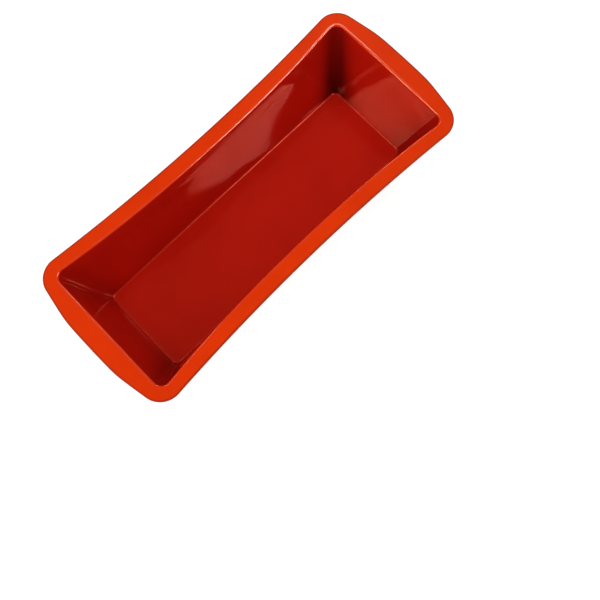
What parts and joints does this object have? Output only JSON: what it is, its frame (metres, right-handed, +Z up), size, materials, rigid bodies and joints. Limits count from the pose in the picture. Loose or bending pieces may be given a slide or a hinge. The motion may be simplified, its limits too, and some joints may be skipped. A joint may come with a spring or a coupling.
{
  "type": "soap loaf mould",
  "caption": "Open silicone loaf mould: a waisted, drafted trough with a wide flat rim and stiffening ribs down both long sides.",
  "frame": {"origin": "middle of the flat base, on the surface that the mould stands on", "axes": "+X along the loaf, +Y across it, +Z up, out of the open cavity"},
  "size_m": [0.2892, 0.1214, 0.0628],
  "materials": {
    "silicone_gloss": "smooth, glossy red silicone inside, matt outside",
    "silicone_satin": "satin red silicone",
    "silicone_matt": "matt, fine-grained red silicone"
  },
  "bodies": {
    "root": {"basin": "silicone_gloss", "rim": "silicone_satin", "rib_back_1": "silicone_matt", "rib_back_2": "silicone_matt", "rib_back_3": "silicone_matt", "rib_front_1": "silicone_matt", "rib_front_2": "silicone_matt", "rib_front_3": "silicone_matt"}
  },
  "joints": []
}
